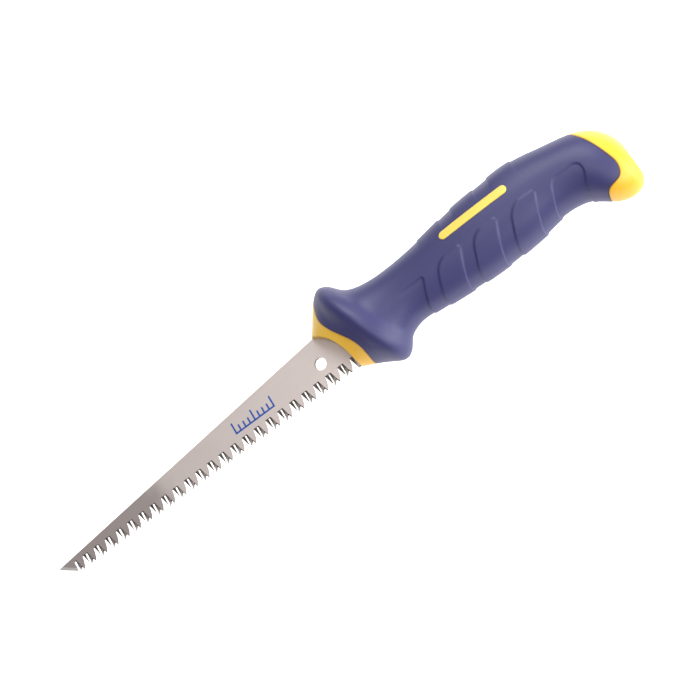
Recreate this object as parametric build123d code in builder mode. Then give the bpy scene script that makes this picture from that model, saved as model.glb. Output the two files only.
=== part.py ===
"""Drywall saw: a tapered toothed blade held in a two-shot handle.

Units are millimetres. The saw lies on its side. +X runs from the blade's tip to the butt of the handle,
+Y from the teeth to the back edge, +Z out of the blade's flat. The origin is the centre of the hang hole,
on the blade's middle plane.
"""
import os
from math import cos, radians, sin, sqrt, tan

from build123d import *

os.makedirs("parts", exist_ok=True)

# ---- blade ----
blade_thickness = 1.4
hang_hole_diameter = 5.5
tooth_pitch = 3.28          # one tooth; they are ground in pairs
tooth_pairs = 24
tooth_depth = 5.5
root_drop = 5.75            # hole centre down to the line of the gullet roots
first_gullet_x = -143.95    # where the first pair of gullets starts
tip_x = -152.6
tip_drop = 4.7              # hole centre down to the point
back_rise_angle = 5.86      # back edge to the tooth line
point_angle = 34.5          # ground front edge to the tooth line
point_bevel_width = 1.4     # sharpened strip behind the front edge
point_edge_land = 0.3       # thickness left at the sharpened edge

# Each pair of teeth is cut by a narrow gullet, a notch that splits the broad tooth's end, and an open gullet.
# Their outlines are given on the blade's upper and lower face, x as a share of the pair's pitch and y as a
# share of the tooth depth from the root line. The walls slant through the blade, which sharpens the teeth.
narrow_gullet = ([(0.02, 0), (0.2, 0), (0.34, -0.62), (0.34, -1.1), (0.02, -1.1)],
                 [(-0.085, 0), (0.03, 0), (0.03, -0.62), (-0.05, -1.1), (-0.15, -1.1)])
end_notch = ([(0.33, -0.62), (0.534, -1.1), (0.137, -1.1)],
             [(0.26, -0.71), (0.396, -1.1), (-0.04, -1.1)])
open_gullet = ([(0.755, 0), (1.0, 0), (1.0, -1.1), (0.44, -1.1), (0.625, -0.77), (0.71, -0.41)],
               [(0.64, 0), (0.703, 0), (0.96, -1.1), (0.33, -1.1), (0.49, -0.77), (0.57, -0.41)])
cut_overlap = 0.01          # cutters pass the blade's faces by this

# ---- tang ----
heel_cover = 0.45           # how far the end of the toothed part reaches into the collar
tang_shoulder_x = 24.0      # where the blade's width steps down to the tang
tang_width = 14.0
tang_end_width = 10.0
tang_end_x = 118.0
tang_centre_y = 3.2
tang_pin_x = (48.0, 96.0)
tang_pin_diameter = 4.0
tang_pin_length = 13.0

# ---- handle ----
# Each section of the handle is an ellipse across a slanted plane: the top point, the bottom point, and the
# half thickness in Z.
sections = [
    ((0.9, 9.4), (12.4, -10.4), 6.5),
    ((5.9, 16.0), (16.0, -12.3), 8.6),
    ((10.7, 22.6), (20.5, -14.4), 11.6),
    ((14.4, 26.1), (26.2, -17.4), 15.2),
    ((18.1, 27.2), (32.2, -20.1), 17.0),
    ((21.8, 24.9), (36.4, -18.0), 15.8),
    ((26.0, 20.2), (39.4, -14.1), 13.8),
    ((33.0, 17.3), (43.5, -12.0), 12.5),
    ((50.0, 16.4), (51.0, -11.5), 12.0),
    ((66.0, 17.9), (66.0, -12.8), 13.0),
    ((86.0, 20.4), (86.0, -13.8), 14.3),
    ((98.0, 21.0), (98.0, -13.5), 14.6),
    ((110.0, 21.4), (110.0, -12.4), 14.4),
    ((119.0, 20.2), (118.0, -11.2), 13.9),
    ((128.0, 18.1), (126.0, -11.5), 13.5),
    ((137.0, 16.1), (133.5, -14.4), 13.4),
    ((144.4, 13.4), (139.8, -19.3), 13.0),
    ((149.6, 9.3), (146.0, -21.4), 11.4),
    ((153.0, 3.8), (151.4, -20.2), 8.6),
    ((154.7, -2.2), (154.7, -15.6), 4.6),
]
grip_wall = 3.4             # soft cover over the rigid core
mouth_centre = (-9.5, -9.5)
mouth_radius = 24.0         # the collar's front edge is an arc about mouth_centre
mouth_wall = 3.6            # collar in front of the core
cap_wall = 4.5              # butt cap behind the core
collar_edge = [(15.0, 31.0), (12.2, 20.5), (10.9, 14.0), (12.8, 7.5), (16.6, 1.0), (20.2, -6.0),
               (20.9, -11.0), (19.5, -17.0)]
cap_edge = [(136.0, 22.0), (140.2, 13.5), (144.4, 5.0), (147.5, -4.5), (148.3, -10.5), (146.4, -14.2),
            (142.2, -15.4), (139.2, -16.2), (137.6, -18.2), (136.2, -22.0)]

# ---- raised pads of the grip ----
pad_rise = 0.5
pad_slant = 0.55            # x gained for each mm up the side
side_pads = [(64.2, 76.4), (82.7, 94.5), (101.7, 113.2)]
side_pad_level = -5.0       # height at which side_pads are measured
side_pad_top = 0.5
side_pad_corner = 2.5
spine_pads = [(64.0, 76.0), (82.0, 94.5), (101.5, 113.5)]
spine_pad_bottom = 14.5

# ---- accent strip on each side of the grip ----
accent_length = 34.0
accent_height = 4.0
accent_centre = (90.5, 9.0)
accent_depth = 1.2

reach = 60.0                # longer than the handle is high or thick


def handle_form(inset):
    """The handle's whole outer form, moved inwards by inset."""
    with BuildPart() as form:
        for top, bottom, half_thickness in sections:
            top_point = Vector(*top)
            bottom_point = Vector(*bottom)
            across = top_point - bottom_point
            facing = Vector(across.Y, -across.X, 0)
            with BuildSketch(Plane((top_point + bottom_point) / 2, x_dir=across, z_dir=facing)):
                Ellipse(across.length / 2 - inset, half_thickness - inset)
        loft()
    return form.part


def zone(edge_points, far_x):
    """Everything between a colour edge, seen square to the blade, and far_x."""
    with BuildPart() as block:
        with BuildSketch(Plane.XY.offset(-reach)):
            with BuildLine():
                edge = Spline(*edge_points)
                Polyline(edge @ 1, (far_x, (edge @ 1).Y), (far_x, (edge @ 0).Y), edge @ 0)
            make_face()
        extrude(amount=2 * reach)
    return block.part


outer_form = handle_form(0)
raised_form = handle_form(-pad_rise)
core_form = handle_form(grip_wall)
accent_floor_form = handle_form(accent_depth)
collar_zone = zone(collar_edge, collar_edge[0][0] - reach)
cap_zone = zone(cap_edge, cap_edge[0][0] + reach)

# ---- blade with its tang ----
tooth_line_y = -root_drop - tooth_depth
mouth_x_at_teeth = mouth_centre[0] + sqrt(mouth_radius**2 - (tooth_line_y - mouth_centre[1])**2)
heel_x = mouth_x_at_teeth + heel_cover
front_edge_run = (tooth_depth + root_drop - tip_drop) / tan(radians(point_angle))
shoulder_back_y = -tip_drop + (tang_shoulder_x - tip_x) * tan(radians(back_rise_angle))
blade_outline = [
    (tip_x, -tip_drop),
    (tang_shoulder_x, shoulder_back_y),
    (tang_shoulder_x, tang_centre_y + tang_width / 2),
    (tang_end_x, tang_centre_y + tang_end_width / 2),
    (tang_end_x, tang_centre_y - tang_end_width / 2),
    (tang_shoulder_x, tang_centre_y - tang_width / 2),
    (tang_shoulder_x, -root_drop),
    (heel_x, -root_drop),
    (heel_x, tooth_line_y),
    (tip_x + front_edge_run, tooth_line_y),
]
along_front_edge = Vector(cos(radians(point_angle)), -sin(radians(point_angle)), 0)
into_blade = Vector(sin(radians(point_angle)), cos(radians(point_angle)), 0)
face_z = blade_thickness / 2

pair_pitch = 2 * tooth_pitch
with BuildPart() as pair_cutter:
    for upper, lower in (narrow_gullet, end_notch, open_gullet):
        for outline, z in ((lower, -face_z - cut_overlap), (upper, face_z + cut_overlap)):
            with BuildSketch(Plane.XY.offset(z)):
                with BuildLine():
                    Polyline(*[(x * pair_pitch, y * tooth_depth) for x, y in outline], close=True)
                make_face()
        loft(ruled=True)

with BuildPart() as blade:
    with BuildSketch(Plane.XY.offset(-face_z)):
        with BuildLine():
            Polyline(*blade_outline, close=True)
        make_face()
        with Locations([(x, tang_centre_y) for x in tang_pin_x]):
            Circle(tang_pin_diameter / 2, mode=Mode.SUBTRACT)
        Circle(hang_hole_diameter / 2, mode=Mode.SUBTRACT)
    extrude(amount=blade_thickness)
    with BuildSketch(Plane((tip_x, -tip_drop), x_dir=into_blade, z_dir=along_front_edge)):
        for side in (1, -1):
            with BuildLine():
                Polyline((0, side * point_edge_land / 2), (point_bevel_width, side * face_z),
                         (0, side * face_z), close=True)
            make_face()
    extrude(amount=front_edge_run / cos(radians(point_angle)), mode=Mode.SUBTRACT)
    with Locations([(first_gullet_x + pair * pair_pitch, -root_drop) for pair in range(tooth_pairs)]):
        add(pair_cutter.part, mode=Mode.SUBTRACT)
blade.part.label = "blade"
export_step(blade.part, "parts/blade.step")

# ---- pins that hold the tang in the core ----
tang_pins = []
for pin_name, pin_x in zip(("tang_pin_front", "tang_pin_rear"), tang_pin_x):
    with BuildPart(Plane((pin_x, tang_centre_y, 0))) as tang_pin:
        Cylinder(tang_pin_diameter / 2, tang_pin_length)
    tang_pin.part.label = pin_name
    export_step(tang_pin.part, f"parts/{pin_name}.step")
    tang_pins.append(tang_pin.part)

# ---- rigid core, two halves round the tang ----
with BuildPart() as core_block:
    add(core_form)
    with BuildSketch(Plane.XY.offset(-reach)):
        with Locations(mouth_centre):
            Circle(mouth_radius + mouth_wall)
    extrude(amount=2 * reach, mode=Mode.SUBTRACT)
    split(bisect_by=Plane.YZ.offset(sections[-1][0][0] - cap_wall), keep=Keep.BOTTOM)

with BuildPart() as core_left:
    add(core_block.part)
    add([blade.part, *tang_pins], mode=Mode.SUBTRACT)
    split(bisect_by=Plane.XY, keep=Keep.TOP)
core_left.part.label = "core_left"
export_step(core_left.part, "parts/core_left.step")

with BuildPart() as core_right:
    add(core_block.part)
    add([blade.part, *tang_pins], mode=Mode.SUBTRACT)
    split(bisect_by=Plane.XY, keep=Keep.BOTTOM)
core_right.part.label = "core_right"
export_step(core_right.part, "parts/core_right.step")

# ---- front collar, round the blade's root ----
with BuildPart() as front_collar:
    add(outer_form)
    add(collar_zone, mode=Mode.INTERSECT)
    with BuildSketch(Plane.XY.offset(-reach)):
        with Locations(mouth_centre):
            Circle(mouth_radius)
    extrude(amount=2 * reach, mode=Mode.SUBTRACT)
    add([blade.part, core_block.part], mode=Mode.SUBTRACT)
front_collar.part.label = "front_collar"
export_step(front_collar.part, "parts/front_collar.step")

# ---- butt cap ----
with BuildPart() as butt_cap:
    add(outer_form)
    add(cap_zone, mode=Mode.INTERSECT)
    add(core_block.part, mode=Mode.SUBTRACT)
butt_cap.part.label = "butt_cap"
export_step(butt_cap.part, "parts/butt_cap.step")

# ---- raised pads on the grip's sides and along its spine ----
with BuildPart() as pads:
    for start_x, end_x in side_pads:
        with BuildSketch(Plane.XY.offset(-reach)) as pad_outline:
            with BuildLine():
                top_shift = (side_pad_top - side_pad_level) * pad_slant
                bottom_shift = (-reach - side_pad_level) * pad_slant
                Polyline((start_x + bottom_shift, -reach), (end_x + bottom_shift, -reach),
                         (end_x + top_shift, side_pad_top), (start_x + top_shift, side_pad_top), close=True)
            make_face()
            fillet(pad_outline.vertices().group_by(Axis.Y)[-1], side_pad_corner)
        extrude(amount=2 * reach)
    for start_x, end_x in spine_pads:
        with BuildSketch(Plane.XZ.offset(-reach)):
            with Locations(((start_x + end_x) / 2, 0)):
                Rectangle(end_x - start_x, 2 * reach)
        extrude(amount=reach - spine_pad_bottom)
    add(raised_form, mode=Mode.INTERSECT)

# ---- accent strip let into each side of the grip ----
with BuildPart() as accent_left:
    with BuildSketch():
        with Locations(accent_centre):
            SlotOverall(accent_length, accent_height)
    extrude(amount=reach)
    add(outer_form, mode=Mode.INTERSECT)
    add(accent_floor_form, mode=Mode.SUBTRACT)
accent_left.part.label = "accent_left"
export_step(accent_left.part, "parts/accent_left.step")

with BuildPart() as accent_right:
    add(mirror(accent_left.part, about=Plane.XY))
accent_right.part.label = "accent_right"
export_step(accent_right.part, "parts/accent_right.step")

# ---- soft grip, moulded over the core between collar and cap ----
with BuildPart() as grip:
    add([outer_form, pads.part])
    add([collar_zone, cap_zone], mode=Mode.SUBTRACT)
    add([core_block.part, accent_left.part, accent_right.part], mode=Mode.SUBTRACT)
grip.part.label = "grip"
export_step(grip.part, "parts/grip.step")
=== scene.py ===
"""Looks of the drywall saw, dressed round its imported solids.

+X runs from the blade's tip to the butt, +Y from the teeth to the back edge, +Z out of the blade's flat.
Blender's lengths are metres. The handle is worked out in millimetres and becomes metres in its meshes.
"""
from math import cos, pi, radians, sin

import bmesh
import bpy
import numpy as np
from mathutils import Matrix, Vector


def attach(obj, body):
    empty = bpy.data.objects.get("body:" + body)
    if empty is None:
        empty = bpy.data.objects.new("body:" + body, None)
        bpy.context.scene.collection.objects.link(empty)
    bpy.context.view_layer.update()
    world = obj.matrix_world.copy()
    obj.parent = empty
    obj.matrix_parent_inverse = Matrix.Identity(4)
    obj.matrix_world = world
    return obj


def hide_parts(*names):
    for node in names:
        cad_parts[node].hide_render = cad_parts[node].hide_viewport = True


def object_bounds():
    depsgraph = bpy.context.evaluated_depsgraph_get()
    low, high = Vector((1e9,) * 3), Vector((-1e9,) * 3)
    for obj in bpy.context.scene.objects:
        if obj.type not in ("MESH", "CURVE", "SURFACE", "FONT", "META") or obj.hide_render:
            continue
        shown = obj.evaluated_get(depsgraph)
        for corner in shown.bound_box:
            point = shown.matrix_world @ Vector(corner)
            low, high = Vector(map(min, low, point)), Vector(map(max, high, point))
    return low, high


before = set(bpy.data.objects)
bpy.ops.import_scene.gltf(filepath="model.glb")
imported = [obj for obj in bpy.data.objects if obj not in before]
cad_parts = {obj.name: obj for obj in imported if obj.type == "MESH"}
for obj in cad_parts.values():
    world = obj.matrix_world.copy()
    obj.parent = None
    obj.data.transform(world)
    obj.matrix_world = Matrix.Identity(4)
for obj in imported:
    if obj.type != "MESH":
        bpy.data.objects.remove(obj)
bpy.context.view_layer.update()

MM = 0.001

# ---- sizes of the handle, in millimetres, as its solids have them ----
# Each section is an ellipse across a slanted plane: its top point, its bottom point and its half thickness.
SECTIONS = [
    ((0.9, 9.4), (12.4, -10.4), 6.5),
    ((5.9, 16.0), (16.0, -12.3), 8.6),
    ((10.7, 22.6), (20.5, -14.4), 11.6),
    ((14.4, 26.1), (26.2, -17.4), 15.2),
    ((18.1, 27.2), (32.2, -20.1), 17.0),
    ((21.8, 24.9), (36.4, -18.0), 15.8),
    ((26.0, 20.2), (39.4, -14.1), 13.8),
    ((33.0, 17.3), (43.5, -12.0), 12.5),
    ((50.0, 16.4), (51.0, -11.5), 12.0),
    ((66.0, 17.9), (66.0, -12.8), 13.0),
    ((86.0, 20.4), (86.0, -13.8), 14.3),
    ((98.0, 21.0), (98.0, -13.5), 14.6),
    ((110.0, 21.4), (110.0, -12.4), 14.4),
    ((119.0, 20.2), (118.0, -11.2), 13.9),
    ((128.0, 18.1), (126.0, -11.5), 13.5),
    ((137.0, 16.1), (133.5, -14.4), 13.4),
    ((144.4, 13.4), (139.8, -19.3), 13.0),
    ((149.6, 9.3), (146.0, -21.4), 11.4),
    ((153.0, 3.8), (151.4, -20.2), 8.6),
    ((154.7, -2.2), (154.7, -15.6), 4.6),
]
GRIP_WALL = 3.4
MOUTH_CENTRE = (-9.5, -9.5)
MOUTH_RADIUS = 24.0
MOUTH_WALL = 3.6
CAP_WALL = 4.5
COLLAR_EDGE = [(15.0, 31.0), (12.2, 20.5), (10.9, 14.0), (12.8, 7.5), (16.6, 1.0), (20.2, -6.0),
               (20.9, -11.0), (19.5, -17.0)]
CAP_EDGE = [(136.0, 22.0), (140.2, 13.5), (144.4, 5.0), (147.5, -4.5), (148.3, -10.5), (146.4, -14.2),
            (142.2, -15.4), (139.2, -16.2), (137.6, -18.2), (136.2, -22.0)]
PAD_RISE = 0.5
PAD_SLANT = 0.55            # x gained for each mm up the side
PAD_LEVEL = -5.0            # height at which the pads' x is measured
PAD_TOP = 1.3
PAD_CORNERS = (4.5, 2.0)    # radius of a side pad's corner towards the blade and towards the butt
SIDE_PADS = [(64.1, 76.1), (82.5, 94.3), (101.3, 113.1)]
SPINE_PADS = [(64.0, 76.0), (82.7, 94.7), (102.3, 114.0)]
SPINE_FADE = (11.0, 18.5)   # heights between which a spine pad rises
FORM_HEIGHT = 50.0          # more than the handle's height
STEP_WIDTH = 0.55           # how far the side of a pad takes to rise
# The row of side pads ends in a dished place towards the guard, which fades out, and one towards the butt.
FRONT_HOLLOW = (20.0, 56.4)
FRONT_HOLLOW_TOP = 0.2
FRONT_HOLLOW_CORNERS = (3.0, 1.5)
FRONT_HOLLOW_FADE = (41.0, 54.0)
REAR_HOLLOW = (120.8, 136.3)
REAR_HOLLOW_TOP = 0.3
REAR_HOLLOW_CORNERS = (2.5, 6.5)

GUARD_RIDGE = [(15.5, 27.0), (19.7, 12.4), (24.9, 4.3), (28.5, -4.3), (31.4, -12.0), (33.3, -18.8)]
RIDGE_DIP = 0.5             # how far the guard's sides are hollowed beside its ridge
RIDGE_WIDTH = 3.4
RIDGE_REACH = 9.0

ACCENT_CENTRE = (90.5, 9.0)
ACCENT_LENGTH = 34.0
ACCENT_HEIGHT = 4.0
ACCENT_RISE = 0.45
ACCENT_ROOT = 0.9           # how deep the strip stands in the grip

SCALE_START = (-48.0, -2.4)
SCALE_PITCH = 2.6
SCALE_TICKS = 9
SCALE_TALL_EVERY = 4
SCALE_LINE = 0.8
SCALE_SHORT = 2.6
SCALE_TALL = 4.8
PRINT_THICKNESS = 0.02
BLADE_FACE = 0.7            # height of the blade's near face

FLOOR_GLOW = 0.85           # light that the floor gives off itself
SEAM_SHADE = 0.7            # how far the painted shade beside a colour edge reaches
EDGE_ROLL = 0.35            # rounding where two colours meet
RIM_ROLL = 0.7              # rounding round the mouth
END_ROLL = 1.4              # rounding round the butt's end
AROUND = 224                # vertices in each ring
RING_STEP = 0.4             # distance between rings
CAP_STEP = 0.3              # the same on the butt, which curves more
INNER_STEP = 2.0            # the same on inner walls, which aren't seen


# ---- node trees ----
class Wire:
    """A socket's output. Arithmetic on it adds Math nodes to its tree."""

    def __init__(self, tree, socket):
        self.tree, self.socket = tree, socket

    def __add__(self, other):
        return self.tree.maths("ADD", self, other)

    def __sub__(self, other):
        return self.tree.maths("SUBTRACT", self, other)

    def __rsub__(self, other):
        return self.tree.maths("SUBTRACT", other, self)

    def __mul__(self, other):
        return self.tree.maths("MULTIPLY", self, other)

    def __truediv__(self, other):
        return self.tree.maths("DIVIDE", self, other)

    def __rtruediv__(self, other):
        return self.tree.maths("DIVIDE", other, self)

    __radd__ = __add__
    __rmul__ = __mul__


class Tree:
    """A node tree in the making. add() makes every node but the Math nodes of an expression."""

    def __init__(self, tree):
        self.tree = tree

    def add(self, kind, settings=None, sockets=None, out=0):
        """Makes a node, sets it, then its sockets by name or number. Returns one output as a Wire."""
        node = self.tree.nodes.new(kind)
        for key, value in (settings or {}).items():
            setattr(node, key, value)
        for key, value in (sockets or {}).items():
            if isinstance(value, Wire):
                self.tree.links.new(value.socket, node.inputs[key])
            else:
                node.inputs[key].default_value = value
        return Wire(self, node.outputs[out]) if len(node.outputs) else node

    def maths(self, operation, *values):
        return self.add("ShaderNodeMath", {"operation": operation}, dict(enumerate(values)))

    def smooth(self, value, low, high):
        """0 below low, 1 above high, with an S between them."""
        sockets = {"Value": value, "From Min": low, "From Max": high}
        return self.add("ShaderNodeMapRange", {"interpolation_type": "SMOOTHSTEP"}, sockets)

    def axes(self, vector):
        return [self.add("ShaderNodeSeparateXYZ", {}, {0: vector}, out) for out in range(3)]


class Finish(Tree):
    """A material in the making, with the few nodes that every finish uses."""

    def __init__(self, name):
        self.material = bpy.data.materials.new(name)
        self.material.use_nodes = True
        super().__init__(self.material.node_tree)
        self.tree.nodes.clear()
        self.place = self.add("ShaderNodeTexCoord", {}, {}, "Object")

    def noise(self, size, detail=2.0, stretch=(1.0, 1.0, 1.0)):
        """Cloudy pattern from 0 to 1 whose blobs are about size metres across."""
        scaled = self.add("ShaderNodeVectorMath", {"operation": "MULTIPLY"}, {0: self.place, 1: stretch})
        return self.add("ShaderNodeTexNoise", {}, {"Vector": scaled, "Scale": 1 / size, "Detail": detail})

    def mix(self, share, first, second):
        """first where share is 0, second where it is 1."""
        first, second = ((*c, 1.0) if isinstance(c, tuple) else c for c in (first, second))
        return self.add("ShaderNodeMix", {"data_type": "RGBA"}, {0: share, 6: first, 7: second}, 2)

    def bump(self, height, distance, strength=1.0):
        sockets = {"Height": height, "Distance": distance, "Strength": strength}
        return self.add("ShaderNodeBump", {}, sockets)

    def finish(self, **sockets):
        """Gives the material its shader. Spaces in a socket's name are written as _."""
        named = {key.replace("_", " "): value for key, value in sockets.items()}
        shader = self.add("ShaderNodeBsdfPrincipled", {}, named)
        self.add("ShaderNodeOutputMaterial", {}, {"Surface": shader})
        return self.material


# ---- finishes ----
def blade_steel():
    """Satin strip steel, darker towards the point as a painted reflection, with rougher ground gullets in
    painted shade and a painted highlight on the ground edge.
    """
    f = Finish("blade_steel")
    x, y, z = f.axes(f.place)
    facing = f.maths("ABSOLUTE", f.axes(f.add("ShaderNodeNewGeometry", {}, {}, "True Normal"))[2])
    clouds = f.noise(0.012)
    grain = f.noise(0.0004, 3.0, (0.03, 1.0, 1.0))
    # Painted reflection: the flat is painted darker towards the point and paler away from it.
    painted_shank_reflection = f.smooth(x + (clouds - 0.5) * 0.02, -0.104, -0.080)
    flat = f.mix(painted_shank_reflection, (0.37, 0.315, 0.305), (0.64, 0.56, 0.53))
    flat = f.mix(grain * 0.25, flat, (0.40, 0.36, 0.35))
    # Painted shade: faces tilted well off the flat, the ground gullets, are painted dark; they are also made
    # rougher.
    ground = 1 - f.smooth(facing, 0.75, 0.85)
    steel = f.mix(ground, flat, (0.10, 0.082, 0.075))
    # Painted highlight: a bright band on the faces tilted a little off the flat, at the ground edge.
    edge = f.smooth(facing, 0.80, 0.86) * (1 - f.smooth(facing, 0.96, 0.985))
    steel = f.mix(edge, steel, (0.75, 0.72, 0.70))
    rough = 0.42 + ground * 0.08 + (clouds - 0.5) * 0.08
    return f.finish(Base_Color=steel, Metallic=0.5, Roughness=rough, Normal=f.bump(grain, 0.00002, 0.4))


def pin_steel():
    f = Finish("pin_steel")
    turned = f.noise(0.0005, 2.0, (1.0, 1.0, 0.2))
    colour = f.mix(turned, (0.50, 0.50, 0.50), (0.62, 0.61, 0.60))
    return f.finish(Base_Color=colour, Metallic=1.0, Roughness=0.35, Normal=f.bump(turned, 0.00002))


def moulded_plastic(name, deep, pale, roughness, low=-0.015, high=0.015):
    """Hard moulded plastic, painted deep at y low and pale at y high as shade and light, with a painted dark
    line of shade beside a colour edge.
    """
    f = Finish(name)
    clouds = f.noise(0.015)
    grain = f.noise(0.0006, 3.0)
    up = f.axes(f.place)[1]
    # Painted light and shade: deep towards the teeth and pale towards the back edge.
    colour = f.mix(f.smooth(up + (clouds - 0.5) * 0.004, low, high), deep, pale)
    # Painted shade: darker brown in the groove beside a colour edge.
    edge = f.add("ShaderNodeAttribute", {"attribute_name": "painted_seam_shade"}, {}, "Fac")
    colour = f.mix(edge * 0.5, colour, (0.30, 0.14, 0.02))
    rough = roughness + (grain - 0.5) * 0.08
    return f.finish(Base_Color=colour, Roughness=rough, Normal=f.bump(grain, 0.00003, 0.5))


def grip_rubber():
    """Soft matt rubber with a fine moulded skin."""
    f = Finish("grip_rubber")
    clouds = f.noise(0.02)
    grain = f.noise(0.0005, 3.0)
    colour = f.mix(clouds, (0.032, 0.031, 0.115), (0.037, 0.035, 0.128))
    # Painted shade: darker in the groove beside a colour edge.
    edge = f.add("ShaderNodeAttribute", {"attribute_name": "painted_seam_shade"}, {}, "Fac")
    colour = f.mix(edge, colour, (0.025, 0.014, 0.022))
    rough = 0.48 + (grain - 0.5) * 0.10
    return f.finish(Base_Color=colour, Roughness=rough, Normal=f.bump(grain, 0.00004, 0.5))


def printed_ink():
    f = Finish("blade_print")
    wear = f.smooth(f.noise(0.0008, 3.0), 0.35, 0.65)
    colour = f.mix(wear, (0.012, 0.055, 0.27), (0.020, 0.075, 0.32))
    return f.finish(Base_Color=colour, Roughness=0.4)


def floor_paper():
    """White paper lit from below, as on a light table."""
    f = Finish("floor_paper")
    colour = f.mix(f.noise(0.3), (0.90, 0.90, 0.90), (0.92, 0.92, 0.92))
    return f.finish(Base_Color=colour, Roughness=0.9, Emission_Color=(1.0, 1.0, 1.0, 1.0),
                    Emission_Strength=FLOOR_GLOW)


# ---- the handle's form ----
def natural_spline(knots, values):
    """A smooth curve through values, one row for each knot."""
    steps = np.diff(knots)
    slopes = np.diff(values, axis=0) / steps[:, None]
    system, change = np.eye(len(knots)), np.zeros_like(values)
    for i in range(1, len(knots) - 1):
        system[i, i - 1:i + 2] = steps[i - 1], 2 * (steps[i - 1] + steps[i]), steps[i]
        change[i] = 6 * (slopes[i] - slopes[i - 1])
    bends = np.linalg.solve(system, change)

    def at(t):
        i = np.clip(np.searchsorted(knots, t) - 1, 0, len(knots) - 2)
        step = steps[i][..., None]
        a = (knots[i + 1] - t)[..., None] / step
        b = 1 - a
        straight = a * values[i] + b * values[i + 1]
        return straight + ((a**3 - a) * bends[i] + (b**3 - b) * bends[i + 1]) * step**2 / 6
    return at


def chord_knots(points):
    """How far along the run of points each one lies."""
    return np.concatenate([[0], np.cumsum(np.linalg.norm(np.diff(points, axis=0), axis=1))])


section_rows = np.array([(*top, *bottom, thick) for top, bottom, thick in SECTIONS])
section_knots = chord_knots(section_rows[:, :4]) / 2**0.5
section_at = natural_spline(section_knots, section_rows)
form_end = section_knots[-1]
turns = np.arange(AROUND) * 2 * pi / AROUND


def form_point(along, turn):
    """A point of the handle's outer form: turn is 0 at the top and half a turn at the bottom."""
    row = section_at(along)
    top, bottom, thick = row[..., :2], row[..., 2:4], row[..., 4]
    flat = (top + bottom) / 2 + np.cos(turn)[..., None] * (top - bottom) / 2
    return np.concatenate([flat, (np.sin(turn) * thick)[..., None]], -1)


def form_normal(along, turn):
    tiny = 1e-3
    a0, a1 = np.clip(along - tiny, 0, form_end), np.clip(along + tiny, 0, form_end)
    lengthwise = form_point(a1, turn) - form_point(a0, turn)
    crosswise = form_point(along, turn + tiny) - form_point(along, turn - tiny)
    normal = np.cross(crosswise, lengthwise)
    return normal / np.linalg.norm(normal, axis=-1, keepdims=True)


def edge_curve(points):
    """Signed distance from a colour edge, seen square to the blade: above 0 on the butt's side."""
    points = np.array(points)
    knots = chord_knots(points)
    line = natural_spline(knots, points)(np.linspace(0, knots[-1], 240))
    start, run = line[:-1], np.diff(line, axis=0)

    def distance(x, y):
        away = np.stack([x, y], -1)[..., None, :] - start
        share = np.clip((away * run).sum(-1) / (run**2).sum(-1), 0, 1)
        gap = away - share[..., None] * run
        reach = np.linalg.norm(gap, axis=-1)
        nearest = reach.argmin(-1)[..., None]
        side = run[..., 0] * gap[..., 1] - run[..., 1] * gap[..., 0]
        pick = np.take_along_axis(side, nearest, -1)
        return (np.take_along_axis(reach, nearest, -1) * np.sign(pick))[..., 0]
    return distance


def mouth(x, y):
    """Signed distance from the arc of the collar's mouth: above 0 in the collar."""
    return np.hypot(x - MOUTH_CENTRE[0], y - MOUTH_CENTRE[1]) - MOUTH_RADIUS


def cap_floor(x, y):
    """Signed distance from the wall that closes the core's end."""
    return x - (SECTIONS[-1][0][0] - CAP_WALL) + 0 * y


collar_edge = edge_curve(COLLAR_EDGE)
cap_edge = edge_curve(CAP_EDGE)
guard_ridge = edge_curve(GUARD_RIDGE)


def guard_dip(points):
    """How deep the guard's sides are hollowed beside its ridge, which leaves the ridge crisp."""
    x, y, z = points.T
    away = guard_ridge(x, y)
    beside = (1 - np.exp(-(away / RIDGE_WIDTH)**2)) * np.exp(-(away / RIDGE_REACH)**2)
    from_seam = np.clip(collar_edge(x, y) / RIDGE_WIDTH, 0, 1)
    sideways = np.clip(np.abs(z) / SECTIONS[2][2], 0, 1)**3
    return RIDGE_DIP * beside * from_seam * sideways


scan = np.linspace(0, form_end, 1500)
scan_points = form_point(np.repeat(scan[:, None], AROUND, 1), np.repeat(turns[None], len(scan), 0))
scanned = {}


def crossing(edge, offset):
    """How far along the form each of the turns comes to offset from the edge."""
    if edge not in scanned:
        scanned[edge] = np.array([edge(row[:, 0], row[:, 1]) for row in scan_points])
    field = scanned[edge]
    first = (field > offset).argmax(0)
    before, after = field[first - 1, range(AROUND)], field[first, range(AROUND)]
    return scan[first - 1] + (scan[first] - scan[first - 1]) * (offset - before) / (after - before)


def ring(along, depth=0.0):
    """A ring of points at a distance along each turn and a depth under the form, which may be a function."""
    points = form_point(along, turns)
    if callable(depth):
        depth = depth(points)[:, None]
    return points - depth * form_normal(along, turns)


def run_of_rings(start, end, depth=0.0, step=RING_STEP):
    """Rings from start to end, both among them, about a step apart."""
    count = max(2, int(np.abs(end - start).max() / step) + 1)
    return [ring(start + (end - start) * share, depth) for share in np.linspace(0, 1, count)]


def rolled(edge, side, radius, far_depth, steps=6):
    """Rings that round an edge over and go in to far_depth. side is 1 where the piece lies past the edge."""
    rings = []
    for angle in np.linspace(0, pi / 2, steps):
        rings.append(ring(crossing(edge, side * radius * (1 - sin(angle))), radius * (1 - cos(angle))))
    return rings + [ring(crossing(edge, 0.0), far_depth)]


def closing(last, steps=4):
    """Rings that shut a tube on the blade's middle plane."""
    return [last * (1, 1, share) for share in np.linspace(1, 0, steps + 1)[1:]]


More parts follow.
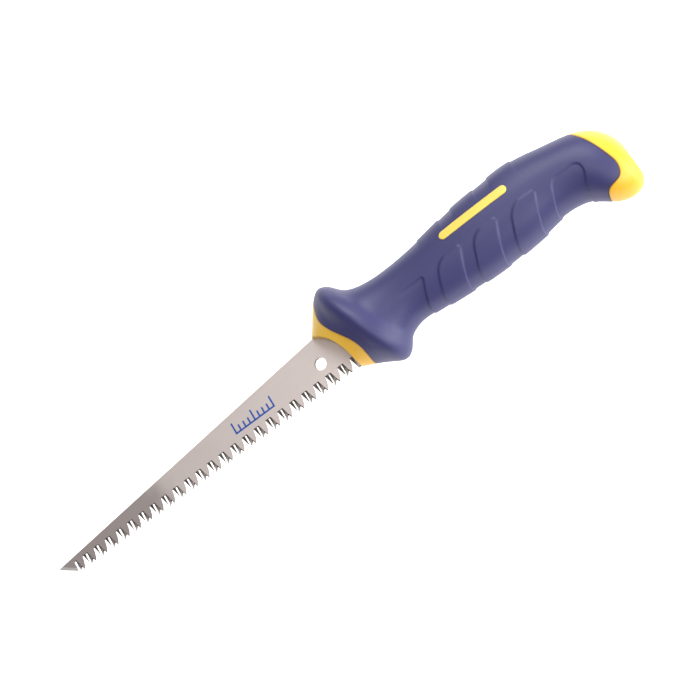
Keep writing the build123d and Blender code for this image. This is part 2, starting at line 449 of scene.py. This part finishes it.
# ---- geometry nodes ----
class Growth(Tree):
    """A tree of geometry nodes in the making, with its named inputs."""

    def __init__(self, name, material, **sizes):
        group = bpy.data.node_groups.new(name, "GeometryNodeTree")
        group.is_modifier = True
        super().__init__(group)
        self.material, self.sizes = material, sizes
        group.interface.new_socket("Geometry", in_out="INPUT", socket_type="NodeSocketGeometry")
        group.interface.new_socket("Geometry", in_out="OUTPUT", socket_type="NodeSocketGeometry")
        self.identifiers = {}
        for size in sizes:
            label = size.replace("_", " ")
            made = group.interface.new_socket(label, in_out="INPUT", socket_type="NodeSocketFloat")
            self.identifiers[size] = made.identifier
        entry = group.nodes.new("NodeGroupInput")
        self.start = Wire(self, entry.outputs[0])
        self.input = {size: Wire(self, entry.outputs[i + 1]) for i, size in enumerate(sizes)}

    def grown(self, piece, geometry):
        """Ends the tree with geometry, runs it on the piece and leaves the result as a plain mesh."""
        real = self.add("GeometryNodeRealizeInstances", {}, {0: geometry})
        painted = self.add("GeometryNodeSetMaterial", {}, {"Geometry": real, "Material": self.material})
        self.add("NodeGroupOutput", {}, {0: painted})
        modifier = piece.modifiers.new(self.tree.name, "NODES")
        modifier.node_group = self.tree
        for size, value in self.sizes.items():
            modifier[self.identifiers[size]] = value
        seen = piece.evaluated_get(bpy.context.evaluated_depsgraph_get())
        mesh = bpy.data.meshes.new_from_object(seen)
        piece.modifiers.remove(modifier)
        piece.data = mesh
        return piece


def lift_pads(piece, material):
    """Lifts the pads off the grip's sides and spine, and sinks the hollows at the ends of the row."""
    g = Growth("grip_pads", material, rise=PAD_RISE, slant=PAD_SLANT, level=PAD_LEVEL, top=PAD_TOP,
               step_width=STEP_WIDTH)
    size = g.input
    place = g.add("GeometryNodeInputPosition")
    x, y = (axis / MM for axis in g.axes(place)[:2])
    leaned = x - size["slant"] * (y - size["level"])

    def inside(across, up, span, corners):
        """1 below a rounded top and between two sides, 0 outside them, with a soft step between."""
        start, end = span
        front, rear = corners
        radius = front + (rear - front) * g.maths("GREATER_THAN", across, (start + end) / 2)
        beyond_x = g.maths("ABSOLUTE", across - (start + end) / 2) - (end - start) / 2 + radius
        beyond_y = radius + up
        outer_x, outer_y = (g.maths("MAXIMUM", beyond, 0.0) for beyond in (beyond_x, beyond_y))
        reach = g.maths("SQRT", outer_x * outer_x + outer_y * outer_y)
        within = g.maths("MINIMUM", g.maths("MAXIMUM", beyond_x, beyond_y), 0.0)
        return 1 - g.smooth(reach + within - radius, size["step_width"] * -0.5, size["step_width"] * 0.5)

    front = inside(leaned, y - FRONT_HOLLOW_TOP, FRONT_HOLLOW, FRONT_HOLLOW_CORNERS)
    height = front * g.smooth(leaned, *FRONT_HOLLOW_FADE) * -1.0
    height = height - inside(leaned, y - REAR_HOLLOW_TOP, REAR_HOLLOW, REAR_HOLLOW_CORNERS)
    for span in SIDE_PADS:
        height = height + inside(leaned, y - size["top"], span, PAD_CORNERS)
    for span in SPINE_PADS:
        height = height + inside(x, -FORM_HEIGHT, span, (0.0, 0.0)) * g.smooth(y, *SPINE_FADE)
    outward = g.add("GeometryNodeInputNormal")
    lift = g.add("ShaderNodeVectorMath", {"operation": "SCALE"},
                 {0: outward, "Scale": height * size["rise"] * MM})
    return g.grown(piece, g.add("GeometryNodeSetPosition", {}, {"Geometry": g.start, "Offset": lift}))


# ---- meshes ----
def skin(name, rings, material, loop=False):
    """One closed mesh over rings of points in millimetres. A loop joins its last ring to its first."""
    points = np.concatenate(rings) * MM
    around = len(rings[0])
    faces = []
    for i in range(len(rings) - (0 if loop else 1)):
        near, far = i * around, (i + 1) % len(rings) * around
        for j in range(around):
            k = (j + 1) % around
            faces.append((near + j, near + k, far + k, far + j))
    mesh = bpy.data.meshes.new(name)
    mesh.from_pydata(points.tolist(), [], faces)
    return finished(name, mesh, material)


def finished(name, mesh, material):
    """The mesh as an object: doubles merged, faces outward, shaded smooth."""
    work = bmesh.new()
    work.from_mesh(mesh)
    bmesh.ops.remove_doubles(work, verts=work.verts, dist=1e-6)
    bmesh.ops.dissolve_degenerate(work, dist=1e-7, edges=work.edges)
    bmesh.ops.recalc_face_normals(work, faces=work.faces)
    work.to_mesh(mesh)
    work.free()
    mesh.materials.clear()
    mesh.materials.append(material)
    mesh.polygons.foreach_set("use_smooth", [True] * len(mesh.polygons))
    piece = bpy.data.objects.new(name, mesh)
    bpy.context.scene.collection.objects.link(piece)
    return piece


def shade_seams(piece, *edges):
    """Writes how near each vertex is to a colour edge, for the painted shade in the groove beside it."""
    places = np.empty(len(piece.data.vertices) * 3)
    piece.data.vertices.foreach_get("co", places)
    x, y = places.reshape(-1, 3)[:, :2].T / MM
    nearness = np.max([np.clip(1 - np.abs(edge(x, y)) / SEAM_SHADE, 0, 1) for edge in edges], axis=0)
    piece.data.attributes.new("painted_seam_shade", "FLOAT", "POINT").data.foreach_set("value", nearness)


def place_piece(piece, node):
    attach(piece, "root")
    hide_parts(node)


collar_finish = moulded_plastic("collar_plastic", (0.80, 0.44, 0.04), (0.74, 0.46, 0.06), 0.38)
cap_finish = moulded_plastic("cap_plastic", (0.84, 0.44, 0.03), (0.86, 0.53, 0.045), 0.38, -0.018, 0.004)
core_finish = moulded_plastic("core_plastic", (0.80, 0.50, 0.06), (0.86, 0.58, 0.08), 0.5)
accent_finish = moulded_plastic("accent_plastic", (0.74, 0.52, 0.08), (0.80, 0.60, 0.10), 0.45)
rubber = grip_rubber()

# collar
collar_line = crossing(collar_edge, 0.0)
mouth_rim = rolled(mouth, 1, RIM_ROLL, RIM_ROLL * 1.5)
collar_outer = run_of_rings(crossing(mouth, RIM_ROLL), crossing(collar_edge, -EDGE_ROLL))
collar_seam = rolled(collar_edge, -1, EDGE_ROLL, GRIP_WALL)
collar_inner = run_of_rings(collar_line, crossing(mouth, MOUTH_WALL), GRIP_WALL, INNER_STEP)
front_rings = closing(mouth_rim[-1], 8)[::-1] + mouth_rim[::-1] + collar_outer[1:]
collar = skin("collar_shell", front_rings + collar_seam[1:] + collar_inner[1:] + closing(collar_inner[-1]),
              collar_finish)
shade_seams(collar, collar_edge)
place_piece(collar, "front_collar")

# grip
grip_start, grip_end = crossing(collar_edge, EDGE_ROLL), crossing(cap_edge, -EDGE_ROLL)
grip_outer = run_of_rings(grip_start, grip_end, guard_dip)
front_seam = rolled(collar_edge, 1, EDGE_ROLL, GRIP_WALL)
rear_seam = rolled(cap_edge, -1, EDGE_ROLL, GRIP_WALL)
grip_inner = run_of_rings(crossing(cap_edge, 0.0), collar_line, GRIP_WALL, INNER_STEP)
grip_rings = front_seam[::-1] + grip_outer[1:] + rear_seam[1:] + grip_inner[1:-1]
grip = skin("grip_skin", grip_rings, rubber, loop=True)
lift_pads(grip, rubber)
shade_seams(grip, collar_edge, cap_edge)
place_piece(grip, "grip")

# butt cap
cap_line = crossing(cap_edge, 0.0)
cap_seam = rolled(cap_edge, 1, EDGE_ROLL, GRIP_WALL)
end_line = np.full(AROUND, form_end)
cap_outer = run_of_rings(crossing(cap_edge, EDGE_ROLL), end_line - END_ROLL, step=CAP_STEP)
end_roll = [ring(end_line - END_ROLL * (1 - sin(angle)), END_ROLL * (1 - cos(angle)))
            for angle in np.linspace(0, pi / 2, 8)]
end_centre = end_roll[-1].mean(0)
end_face = [end_centre + (end_roll[-1] - end_centre) * share for share in np.linspace(1, 0, 8)[1:]]
cap_inner = run_of_rings(crossing(cap_floor, 0.0), cap_line, GRIP_WALL, INNER_STEP)
cap_rings = (closing(cap_inner[0])[::-1] + cap_inner + cap_seam[::-1][1:] + cap_outer[1:]
             + end_roll[1:] + end_face)
cap = skin("cap_shell", cap_rings, cap_finish)
shade_seams(cap, cap_edge)
place_piece(cap, "butt_cap")


# accent strips
def capsule(inset):
    """Outline of the accent strip, moved inwards by inset. At its full radius it is a line."""
    radius = ACCENT_HEIGHT / 2
    half = ACCENT_LENGTH / 2 - radius
    bend = np.linspace(-pi / 2, pi / 2, 15)
    straight = np.linspace(half, -half, 50)[1:-1]
    x = np.concatenate([half + (radius - inset) * np.cos(bend), straight,
                        -half - (radius - inset) * np.cos(bend), -straight])
    y = np.concatenate([np.sin(bend), np.ones(48), -np.sin(bend), -np.ones(48)]) * (radius - inset)
    return x + ACCENT_CENTRE[0], y + ACCENT_CENTRE[1]


def side_height(x, y):
    """Height of the handle's side above the blade's middle plane, where its sections stand upright."""
    row = section_at(np.interp(x, section_at(scan)[:, 0], scan))
    middle, half = (row[:, 1] + row[:, 3]) / 2, (row[:, 1] - row[:, 3]) / 2
    return row[:, 4] * np.sqrt(1 - ((y - middle) / half)**2)


def accent_rings(side):
    """Rings of the strip from under its middle, up its side and over its rounded edge to its crest."""
    full = ACCENT_HEIGHT / 2
    roll = [(ACCENT_RISE * (1 - cos(a)), ACCENT_RISE * sin(a)) for a in np.linspace(0, pi / 2, 7)]
    profile = [(full, -ACCENT_ROOT), (0.0, -ACCENT_ROOT), *roll, (full / 2, ACCENT_RISE), (full, ACCENT_RISE)]
    rings = []
    for inset, lift in profile:
        x, y = capsule(inset)
        rings.append(np.stack([x, y, side * (side_height(x, y) + lift)], -1))
    return rings


for side, hand in ((1, "left"), (-1, "right")):
    strip = skin("accent_strip_" + hand, accent_rings(side), accent_finish)
    place_piece(strip, "accent_" + hand)


# scale printed on the blade
def print_scale(material):
    """A plain measuring scale: ticks of two heights on a base line, as thin as ink."""
    g = Growth("blade_scale", material, pitch=SCALE_PITCH * MM, line=SCALE_LINE * MM, short=SCALE_SHORT * MM,
               tall=SCALE_TALL * MM, thickness=PRINT_THICKNESS * MM)
    size = g.input
    start_x, start_y = (value * MM for value in SCALE_START)
    middle_z = (BLADE_FACE + PRINT_THICKNESS / 2) * MM

    def vector(x, y, z):
        return g.add("ShaderNodeCombineXYZ", {}, {0: x, 1: y, 2: z})

    points = g.add("GeometryNodeMeshLine", {}, {
        "Count": SCALE_TICKS, "Start Location": (start_x, start_y, middle_z),
        "Offset": vector(size["pitch"], 0.0, 0.0)})
    index = g.add("GeometryNodeInputIndex")
    is_tall = g.maths("COMPARE", g.maths("MODULO", index, float(SCALE_TALL_EVERY)), 0.0, 0.1)
    height = size["short"] + (size["tall"] - size["short"]) * is_tall
    tick = g.add("GeometryNodeMeshCube", {}, {"Size": (1.0, 1.0, 1.0)})
    raised = g.add("GeometryNodeTransform", {}, {0: tick, "Translation": (0.0, 0.5, 0.0)})
    ticks = g.add("GeometryNodeInstanceOnPoints", {}, {
        "Points": points, "Instance": raised, "Scale": vector(size["line"], height, size["thickness"])})
    run = size["pitch"] * (SCALE_TICKS - 1) + size["line"]
    base = g.add("GeometryNodeMeshCube", {}, {"Size": vector(run, size["line"], size["thickness"])})
    place = vector(run * 0.5 + start_x - size["line"] * 0.5, start_y - size["line"] * 0.5, middle_z)
    placed = g.add("GeometryNodeTransform", {}, {0: base, "Translation": place})
    both = g.tree.nodes.new("GeometryNodeJoinGeometry")
    for part in (ticks, placed):
        g.tree.links.new(part.socket, both.inputs[0])
    piece = bpy.data.objects.new("blade_scale", bpy.data.meshes.new("blade_scale"))
    bpy.context.scene.collection.objects.link(piece)
    return g.grown(piece, Wire(g, both.outputs[0]))


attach(print_scale(printed_ink()), "root")

# ---- solids that stay, with their finishes ----
def dress(node, material):
    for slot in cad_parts[node].material_slots:
        slot.material = material


dress("blade", blade_steel())
pin_finish = pin_steel()
for pin in ("tang_pin_front", "tang_pin_rear"):
    dress(pin, pin_finish)
for half in ("core_left", "core_right"):
    dress(half, core_finish)

# ---- camera, lights and floor ----
CAMERA_PLACE = Vector((0.144755, -0.197946, 0.567350))
CAMERA_AIM = Vector((0.01395, -0.00266, 0.0))
CAMERA_ROLL = 0.636946      # radians about the line of sight
CAMERA_LENS = 74.74
SENSOR_WIDTH = 36.0
NEAREST_SEEN = 0.01
ahead = (CAMERA_AIM - CAMERA_PLACE).normalized()
level = Vector((1, 0, 0))
level = (level - ahead * level.dot(ahead)).normalized()
below = ahead.cross(level)
right = cos(CAMERA_ROLL) * level + sin(CAMERA_ROLL) * below
down = -sin(CAMERA_ROLL) * level + cos(CAMERA_ROLL) * below
camera = bpy.data.objects.new("camera", bpy.data.cameras.new("camera"))
camera.data.lens = CAMERA_LENS
camera.data.sensor_width = SENSOR_WIDTH
turn = Matrix((right, -down, -ahead)).transposed().to_4x4()
camera.matrix_world = Matrix.Translation(CAMERA_PLACE) @ turn
camera.data.clip_start = NEAREST_SEEN
bpy.context.scene.collection.objects.link(camera)
bpy.context.scene.camera = camera


def soft_light(name, place, aim, size, power):
    lamp = bpy.data.lights.new(name, "AREA")
    lamp.shape = "SQUARE"
    lamp.size, lamp.energy = size, power
    light = bpy.data.objects.new(name, lamp)
    light.location = place
    light.rotation_euler = (Vector(aim) - Vector(place)).to_track_quat("-Z", "Y").to_euler()
    bpy.context.scene.collection.objects.link(light)


# Soft boxes round the saw: degrees from +X, degrees above the floor, size in metres and watts.
SOFT_BOXES = {"butt_side": (-20, 20, 0.8, 12.0), "teeth_side": (-60, 45, 0.6, 5.0),
              "back_side": (65, 45, 0.6, 9.0), "overhead": (0, 88, 0.5, 3.0)}
BOX_DISTANCE = 1.1
LIT_PLACE = Vector((0.02, 0.0, 0.0))
for name, (around, above, size, watts) in SOFT_BOXES.items():
    around, above = radians(around), radians(above)
    towards = Vector((cos(above) * cos(around), cos(above) * sin(around), sin(above)))
    soft_light(name, LIT_PLACE + towards * BOX_DISTANCE, LIT_PLACE, size, watts)

# The studio's walls are pale to look at, and give little light.
WALL_LIGHT = 0.12
WALL_LOOK = 0.9
world = bpy.data.worlds.new("studio")
world.use_nodes = True
walls = Tree(world.node_tree)
walls.tree.nodes.clear()
looked_at = walls.add("ShaderNodeLightPath", {}, {}, "Is Camera Ray")
pale = walls.add("ShaderNodeBackground", {}, {"Color": (1.0, 1.0, 1.0, 1.0),
                                              "Strength": looked_at * (WALL_LOOK - WALL_LIGHT) + WALL_LIGHT})
walls.add("ShaderNodeOutputWorld", {}, {"Surface": pale})
bpy.context.scene.world = world
bpy.context.scene.view_settings.view_transform = "Standard"

FLOOR_REACH = 3.0
FLOOR_GAP = 0.0002          # the saw stands this far off the floor
low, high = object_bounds()
floor_mesh = bpy.data.meshes.new("floor")
floor_z = low.z - FLOOR_GAP
corners = [(-1, -1), (1, -1), (1, 1), (-1, 1)]
floor_mesh.from_pydata([(x * FLOOR_REACH, y * FLOOR_REACH, floor_z) for x, y in corners], [], [(0, 1, 2, 3)])
floor_mesh.materials.append(floor_paper())
floor = bpy.data.objects.new("floor", floor_mesh)
bpy.context.scene.collection.objects.link(floor)
